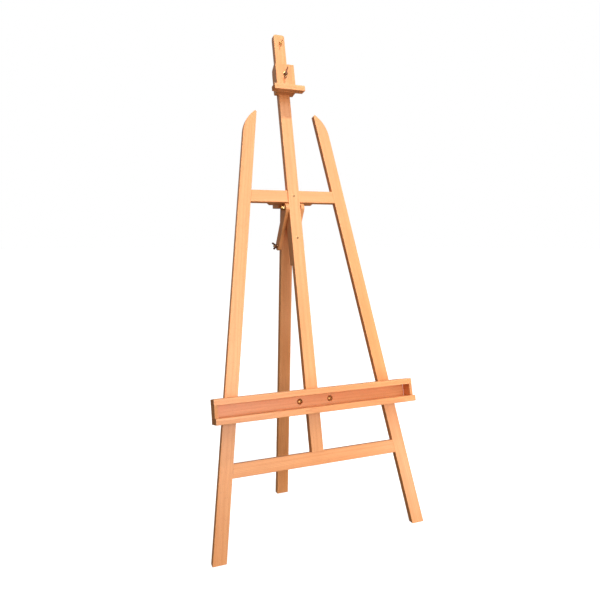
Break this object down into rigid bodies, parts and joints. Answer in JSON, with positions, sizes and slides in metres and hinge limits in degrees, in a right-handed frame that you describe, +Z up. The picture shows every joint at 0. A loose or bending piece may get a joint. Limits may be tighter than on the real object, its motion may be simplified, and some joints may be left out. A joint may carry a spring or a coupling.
{
  "type": "lyre studio easel",
  "caption": "Wooden lyre easel with two splayed front legs, a fixed mast, sliding brush tray, sliding canvas holder and a folding rear leg.",
  "frame": {"origin": "on the floor, under the centre of the bounding box", "axes": "+Z up, +X to the right as seen from the painter, -Y towards the painter"},
  "size_m": [0.763, 0.4572, 1.7782],
  "materials": {
    "beech": "smooth oiled beech, satin",
    "bronzed_steel": "dark bronze plating, worn bright on the high edges",
    "wood_screws": "yellow zinc plating",
    "brass_bush": "dull brass"
  },
  "bodies": {
    "frame": {"left_front_leg": "beech", "right_front_leg": "beech", "upper_crossbar": "beech", "lower_crossbar": "beech", "crossbar_dowels": "beech", "mast": "beech", "mast_foot_dowels": "beech", "mast_screws": "wood_screws", "hinge_batten": "beech", "batten_screws": "wood_screws", "left_stop_block": "beech", "right_stop_block": "beech", "stop_block_screws": "wood_screws", "backing_strip": "beech", "pivot_bolt": "bronzed_steel", "pivot_washer": "bronzed_steel", "pivot_cap_nut": "bronzed_steel"},
    "stop_screw": {"top_stop_screw": "bronzed_steel"},
    "hinge_links": {"left_hinge_link": "beech", "right_hinge_link": "beech"},
    "rear_leg": {"rear_leg": "beech", "lock_bolt": "bronzed_steel", "lock_washer": "bronzed_steel"},
    "lock_nut": {"lock_wing_nut": "bronzed_steel"},
    "tray": {"tray_back_panel": "beech", "tray_top_rail": "beech", "tray_ledge": "beech", "tray_left_end": "beech", "tray_right_end": "beech", "tray_screws": "wood_screws", "tray_bolts": "bronzed_steel", "tray_clamp_block": "beech", "tray_washers": "bronzed_steel"},
    "tray_left_nut": {"tray_left_wing_nut": "bronzed_steel"},
    "tray_right_nut": {"tray_right_wing_nut": "bronzed_steel"},
    "canvas_holder": {"holder_block": "beech", "holder_keeper": "beech", "keeper_screws": "wood_screws", "holder_lip": "beech", "lip_screws": "wood_screws", "holder_insert": "brass_bush"},
    "clamp_screw": {"holder_clamp_screw": "bronzed_steel"}
  },
  "joints": [
    {"name": "rear_leg_links", "type": "hinge", "parent": "frame", "child": "hinge_links", "pos_m": [0, 0.05661, 1.11099], "axis": [1, 0, 0], "range_deg": [-26.38, 0]},
    {"name": "rear_leg_fold", "type": "hinge", "parent": "hinge_links", "child": "rear_leg", "pos_m": [0, 0.13493, 0.972], "axis": [1, 0, 0], "range_deg": [0, 9.41]},
    {"name": "lock_wing_nut_turn", "type": "hinge", "parent": "rear_leg", "child": "lock_nut", "pos_m": [-0.045, 0.13493, 0.972], "axis": [-1, 0, 0], "continuous": true},
    {"name": "tray_slide", "type": "slide", "parent": "frame", "child": "tray", "axis": [0, 0.2419, 0.9703], "range_m": [-0.148, 0.455]},
    {"name": "tray_left_wing_nut_turn", "type": "hinge", "parent": "tray", "child": "tray_left_nut", "pos_m": [-0.056, -0.06841, 0.43599], "axis": [0, 0.9703, -0.2419], "continuous": true},
    {"name": "tray_right_wing_nut_turn", "type": "hinge", "parent": "tray", "child": "tray_right_nut", "pos_m": [0.056, -0.06841, 0.43599], "axis": [0, 0.9703, -0.2419], "continuous": true},
    {"name": "holder_slide", "type": "slide", "parent": "frame", "child": "canvas_holder", "axis": [0, 0.2419, 0.9703], "range_m": [-0.37, 0.08]},
    {"name": "holder_clamp_screw_turn", "type": "hinge", "parent": "canvas_holder", "child": "clamp_screw", "pos_m": [0, 0.13268, 1.61455], "axis": [0, -0.9703, 0.2419], "continuous": true},
    {"name": "top_stop_screw_turn", "type": "hinge", "parent": "frame", "child": "stop_screw", "pos_m": [0.004, 0.20027, 1.74507], "axis": [0, -0.9703, 0.2419], "continuous": true}
  ],
  "couplings": [
    {"joint": "rear_leg_fold", "follows": "rear_leg_links", "ratio": -0.3567}
  ]
}
